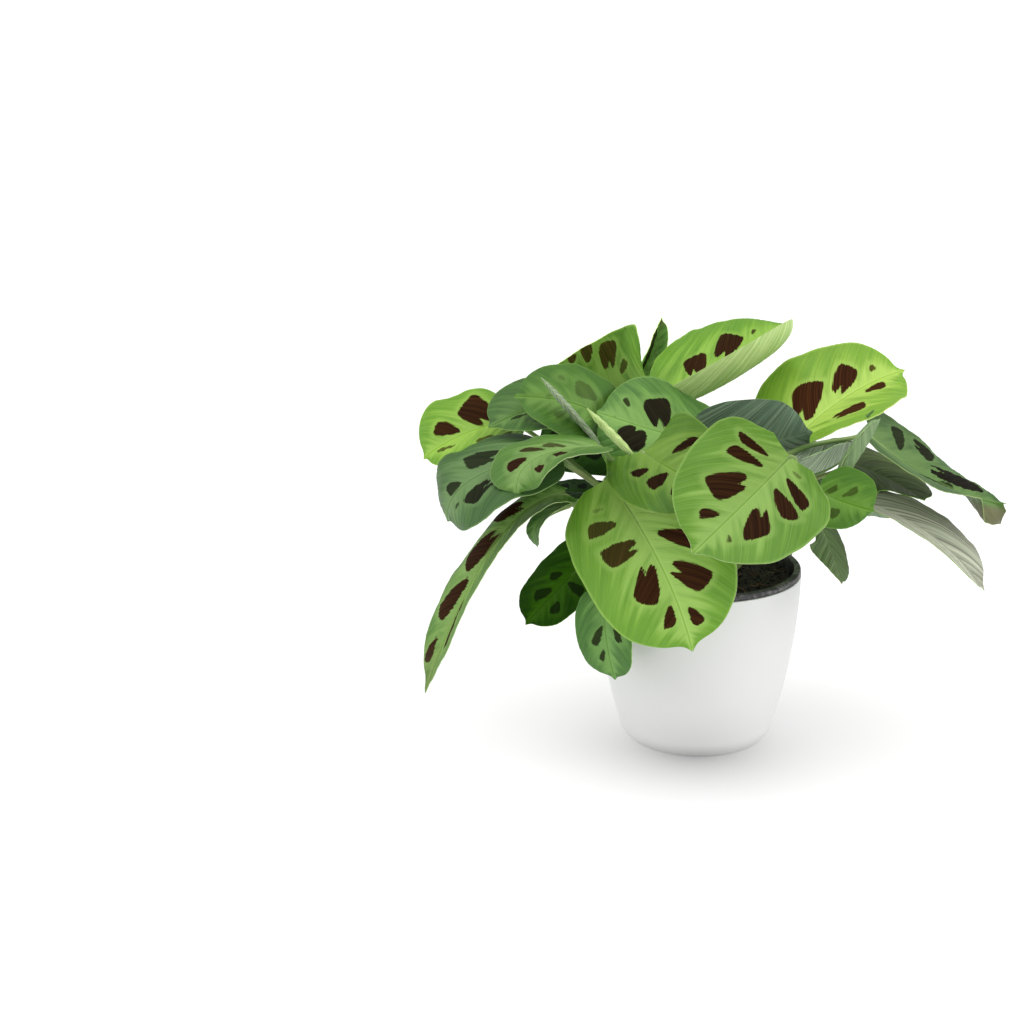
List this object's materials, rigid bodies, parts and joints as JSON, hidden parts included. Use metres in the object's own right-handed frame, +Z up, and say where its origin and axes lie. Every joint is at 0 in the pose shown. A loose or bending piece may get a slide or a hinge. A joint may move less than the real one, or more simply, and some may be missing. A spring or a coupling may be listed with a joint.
{
  "type": "potted prayer plant maranta",
  "caption": "Leafy prayer plant with dark-blotched ovate leaves on slim stalks, growing in soil in a dark grower pot inside a plain round white cover pot.",
  "frame": {"origin": "centre of the cover pot's flat underside, where the pot rests", "axes": "+Z up along the pot's axis; -Y is the plant's front, with the largest leaf hanging over the rim; +X is to the right of the front"},
  "size_m": [0.3698, 0.2445, 0.2573],
  "materials": {
    "pot_white": "satin white, smooth",
    "grower_dark": "thin moulded nursery pot, slightly shiny, dusted",
    "soil": "moist peat with brown fibres",
    "leaf_bright": "fresh light green with dark brown blotches between the side veins, satin",
    "leaf_green": "mid green with dark brown blotches, satin",
    "leaf_grey": "greyish green with dark blotches, satin",
    "leaf_dark": "deep green with faint darker blotches, satin",
    "leaf_pale": "greyish green underside with fine purple-grey streaks"
  },
  "bodies": {
    "root": {"cover_pot": "pot_white", "grower_pot": "grower_dark", "soil": "soil", "leaf_front_hanging": "leaf_bright", "leaf_front_heart": "leaf_bright", "leaf_front_centre": "leaf_bright", "leaf_centre_dark": "leaf_grey", "leaf_upper_pale": "leaf_green", "leaf_upper_left": "leaf_grey", "leaf_left_bright": "leaf_bright", "leaf_left_lower": "leaf_grey", "leaf_left_front": "leaf_green", "leaf_left_long": "leaf_green", "leaf_left_young": "leaf_grey", "leaf_low_shaded": "leaf_dark", "leaf_low_pot": "leaf_grey", "leaf_top_left": "leaf_green", "leaf_top_narrow": "leaf_dark", "leaf_top_folded": "leaf_bright", "leaf_top_right": "leaf_bright", "leaf_centre_curled": "leaf_pale", "leaf_right_small": "leaf_bright", "leaf_right_turned": "leaf_pale", "leaf_right_far": "leaf_grey", "leaf_right_olive": "leaf_pale", "leaf_right_pale": "leaf_pale", "leaf_right_drooping": "leaf_pale", "leaf_right_rolled": "leaf_pale", "spear_grooved": "leaf_grey", "spear_pale": "leaf_pale", "leaf_back_1": "leaf_green", "leaf_back_2": "leaf_bright", "leaf_back_3": "leaf_dark", "leaf_back_4": "leaf_grey", "leaf_back_5": "leaf_bright", "leaf_back_6": "leaf_green", "leaf_back_7": "leaf_dark", "leaf_back_8": "leaf_dark", "leaf_back_9": "leaf_dark", "leaf_back_10": "leaf_dark"}
  },
  "joints": []
}
